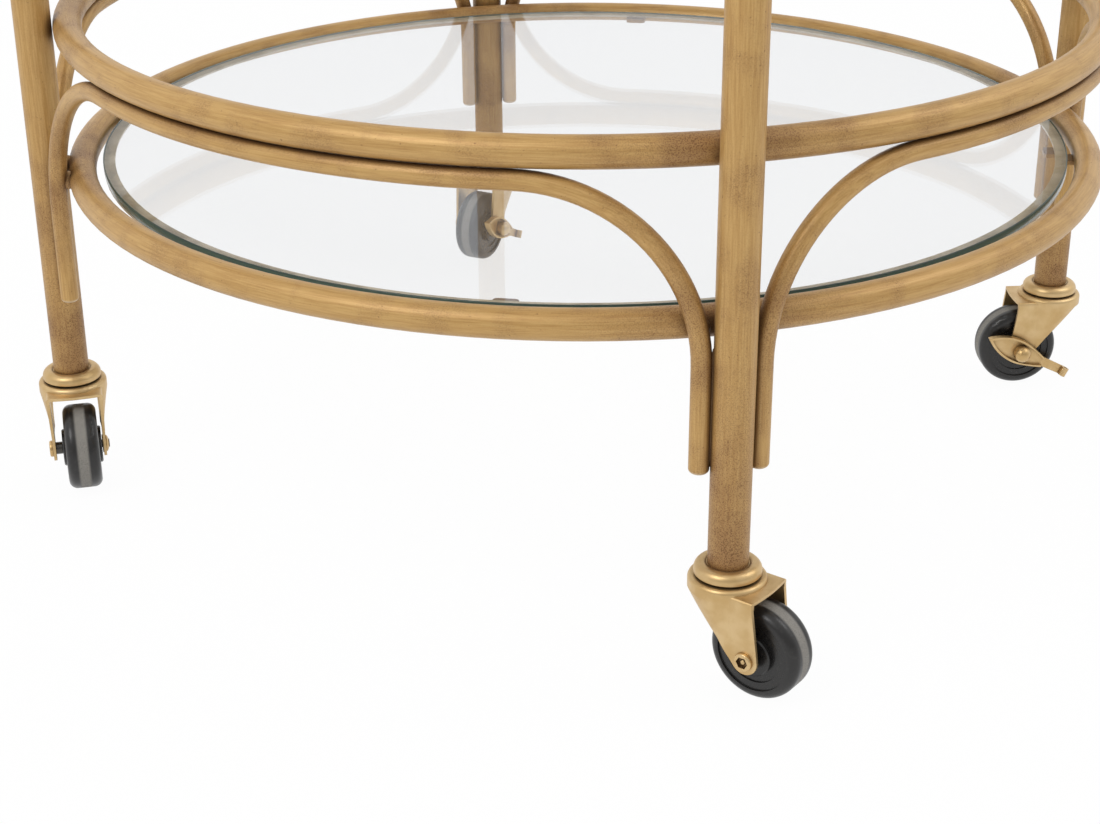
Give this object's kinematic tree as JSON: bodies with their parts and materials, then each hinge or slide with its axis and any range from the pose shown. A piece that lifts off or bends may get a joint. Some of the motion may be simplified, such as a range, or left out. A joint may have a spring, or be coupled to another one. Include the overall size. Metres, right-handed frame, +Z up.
{
  "type": "dessert trolley",
  "caption": "Round dessert trolley on swivel casters: welded tube frame, clear glass shelves set in rings, gallery rings and bent rod hoops.",
  "frame": {"origin": "on the floor, on the vertical axis through the middle of the shelf rings", "axes": "+Z up; the front leg stands at -Y, the right leg at +X, the back leg at +Y and the left leg at -X"},
  "size_m": [0.823, 0.8449, 0.808],
  "materials": {
    "antiqued_gold": "satin antiqued gold paint with brush streaks",
    "satin_brass": "satin plated pressed steel",
    "bright_steel": "bright",
    "black_rubber": "satin hard rubber",
    "black_nylon": "matte moulded nylon",
    "clear_glass": "clear float glass with ground edge",
    "clear_rubber": "soft clear strip"
  },
  "bodies": {
    "trolley": {"caster_collars": "satin_brass", "caster_plugs": "black_nylon", "caster_stems": "bright_steel", "leg_back": "antiqued_gold", "leg_caps": "antiqued_gold", "leg_front": "antiqued_gold", "leg_left": "antiqued_gold", "leg_right": "antiqued_gold", "lower_gallery_ring": "antiqued_gold", "lower_glass_shelf": "clear_glass", "lower_glass_strip": "clear_rubber", "lower_glass_tabs": "antiqued_gold", "lower_hoop_back_left": "antiqued_gold", "lower_hoop_front_right": "antiqued_gold", "lower_hoop_left_front": "antiqued_gold", "lower_hoop_right_back": "antiqued_gold", "lower_shelf_ring": "antiqued_gold", "lower_weld_beads": "antiqued_gold", "upper_gallery_ring": "antiqued_gold", "upper_glass_shelf": "clear_glass", "upper_glass_strip": "clear_rubber", "upper_glass_tabs": "antiqued_gold", "upper_hoop_back_left": "antiqued_gold", "upper_hoop_front_right": "antiqued_gold", "upper_hoop_left_front": "antiqued_gold", "upper_hoop_right_back": "antiqued_gold", "upper_shelf_ring": "antiqued_gold", "upper_weld_beads": "antiqued_gold"},
    "swivel_front": {"ball_race_front": "bright_steel", "fork_front": "satin_brass", "axle_front": "satin_brass"},
    "wheel_front": {"wheel_core_front": "black_nylon", "tyre_front": "black_rubber", "wheel_bush_front": "bright_steel"},
    "swivel_right": {"ball_race_right": "bright_steel", "fork_right": "satin_brass", "axle_right": "satin_brass", "brake_nut_right": "satin_brass"},
    "wheel_right": {"wheel_core_right": "black_nylon", "tyre_right": "black_rubber", "wheel_bush_right": "bright_steel"},
    "brake_right": {"brake_lever_right": "satin_brass"},
    "swivel_back": {"ball_race_back": "bright_steel", "fork_back": "satin_brass", "axle_back": "satin_brass", "brake_nut_back": "satin_brass"},
    "wheel_back": {"wheel_core_back": "black_nylon", "tyre_back": "black_rubber", "wheel_bush_back": "bright_steel"},
    "brake_back": {"brake_lever_back": "satin_brass"},
    "swivel_left": {"ball_race_left": "bright_steel", "fork_left": "satin_brass", "axle_left": "satin_brass"},
    "wheel_left": {"wheel_core_left": "black_nylon", "tyre_left": "black_rubber", "wheel_bush_left": "bright_steel"}
  },
  "joints": [
    {"name": "swivel_front_turn", "type": "hinge", "parent": "trolley", "child": "swivel_front", "pos_m": [0, -0.387, 0.0742], "axis": [0, 0, 1], "continuous": true},
    {"name": "wheel_front_spin", "type": "hinge", "parent": "swivel_front", "child": "wheel_front", "pos_m": [0.0164, -0.40587, 0.031], "axis": [0.7547, 0.6561, 0], "continuous": true},
    {"name": "swivel_right_turn", "type": "hinge", "parent": "trolley", "child": "swivel_right", "pos_m": [0.387, 0, 0.0742], "axis": [0, 0, 1], "continuous": true},
    {"name": "wheel_right_spin", "type": "hinge", "parent": "swivel_right", "child": "wheel_right", "pos_m": [0.36224, 0.00348, 0.031], "axis": [-0.1392, -0.9903, 0], "continuous": true},
    {"name": "brake_right_tilt", "type": "hinge", "parent": "swivel_right", "child": "brake_right", "pos_m": [0.35925, -0.01781, 0.031], "axis": [-0.1392, -0.9903, 0], "range_deg": [0, 45]},
    {"name": "swivel_back_turn", "type": "hinge", "parent": "trolley", "child": "swivel_back", "pos_m": [0, 0.387, 0.0742], "axis": [0, 0, 1], "continuous": true},
    {"name": "wheel_back_spin", "type": "hinge", "parent": "swivel_back", "child": "wheel_back", "pos_m": [-0.01539, 0.3673, 0.031], "axis": [0.788, -0.6157, 0], "continuous": true},
    {"name": "brake_back_tilt", "type": "hinge", "parent": "swivel_back", "child": "brake_back", "pos_m": [0.00155, 0.35406, 0.031], "axis": [0.788, -0.6157, 0], "range_deg": [0, 45]},
    {"name": "swivel_left_turn", "type": "hinge", "parent": "trolley", "child": "swivel_left", "pos_m": [-0.387, 0, 0.0742], "axis": [0, 0, 1], "continuous": true},
    {"name": "wheel_left_spin", "type": "hinge", "parent": "swivel_left", "child": "wheel_left", "pos_m": [-0.38635, -0.02499, 0.031], "axis": [0.9997, 0.0262, 0], "continuous": true}
  ]
}
